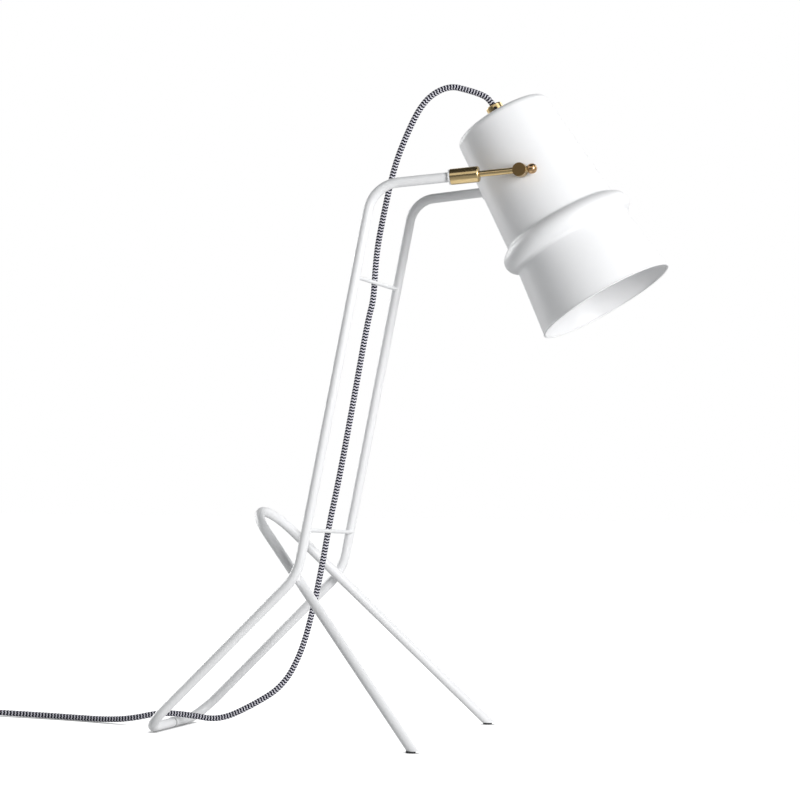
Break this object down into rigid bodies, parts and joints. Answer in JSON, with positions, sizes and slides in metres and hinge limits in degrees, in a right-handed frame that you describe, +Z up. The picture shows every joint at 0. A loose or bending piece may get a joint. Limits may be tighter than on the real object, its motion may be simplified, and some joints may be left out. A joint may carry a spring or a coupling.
{
  "type": "table lamp",
  "caption": "Desk lamp with a bent rod frame, a hairpin front leg, a spun shade that tilts on brass pivots and a braided cord with an inline rocker switch.",
  "frame": {"origin": "on the table, under the middle of the lamp without its cord", "axes": "+X towards the shade, +Y away from the side that is seen first, +Z up"},
  "size_m": [0.9588, 0.3086, 0.6664],
  "materials": {
    "white_paint": "satin",
    "black_rubber": "matte",
    "brass": "satin brushed",
    "zinc_steel": "bright zinc",
    "dark_steel": "blackened",
    "white_plastic": "matte",
    "porcelain": "glazed ceramic",
    "nickel": "nickel plated",
    "opal_glass": "opal",
    "braided_cord": "two-colour chevron braid",
    "black_plastic": "matte"
  },
  "bodies": {
    "frame": {"frame_rod_near": "white_paint", "knee_weld_near": "white_paint", "arm_collar_near": "white_paint", "foot_pad_near": "black_rubber", "arm_bush_near": "brass", "brass_rod_near": "brass", "rod_ball_near": "brass", "pivot_barrel_near": "brass", "pivot_spring_washer_near": "zinc_steel", "pivot_nut_near": "zinc_steel", "frame_rod_far": "white_paint", "knee_weld_far": "white_paint", "arm_collar_far": "white_paint", "foot_pad_far": "black_rubber", "arm_bush_far": "brass", "brass_rod_far": "brass", "rod_ball_far": "brass", "pivot_barrel_far": "brass", "pivot_spring_washer_far": "zinc_steel", "pivot_nut_far": "zinc_steel", "floor_bar_weld": "white_paint", "hairpin_leg": "white_paint", "upper_cross_wire": "white_paint", "lower_cross_wire": "white_paint", "switch_contacts": "brass", "switch_screws": "zinc_steel", "cord_upper": "braided_cord", "cord_lower": "braided_cord", "cord_to_coil": "braided_cord", "cord_coil": "braided_cord", "cord_to_plug": "braided_cord", "switch_base": "black_plastic", "switch_cover": "black_plastic", "plug_body": "black_plastic", "plug_pins": "nickel"},
    "head": {"shade": "white_paint", "cord_grip": "brass", "grip_screw": "dark_steel", "threaded_nipple": "brass", "nipple_washer": "zinc_steel", "nipple_nut": "zinc_steel", "cord_inside": "braided_cord", "lampholder_cap": "white_plastic", "lampholder_shell": "white_plastic", "lampholder_core": "porcelain", "lampholder_terminals": "brass", "lampholder_sleeve": "brass", "lampholder_contact": "brass", "bulb_contact": "zinc_steel", "bulb_cap": "nickel", "bulb_housing": "white_plastic", "bulb_globe": "opal_glass", "outer_saddle_near": "zinc_steel", "outer_saddle_far": "zinc_steel", "inner_saddle_near": "zinc_steel", "inner_saddle_far": "zinc_steel"},
    "rocker": {"switch_rocker": "black_plastic"}
  },
  "joints": [
    {"name": "shade_tilt", "type": "hinge", "parent": "frame", "child": "head", "pos_m": [0.12752, 0, 0.5684], "axis": [0, -1, 0], "range_deg": [-35, 60], "deforming": ["cord_upper"]},
    {"name": "switch_rocker", "type": "hinge", "parent": "frame", "child": "rocker", "pos_m": [-0.557, 0.044, 0.0145], "axis": [0, -1, 0], "range_deg": [0, 16]}
  ]
}
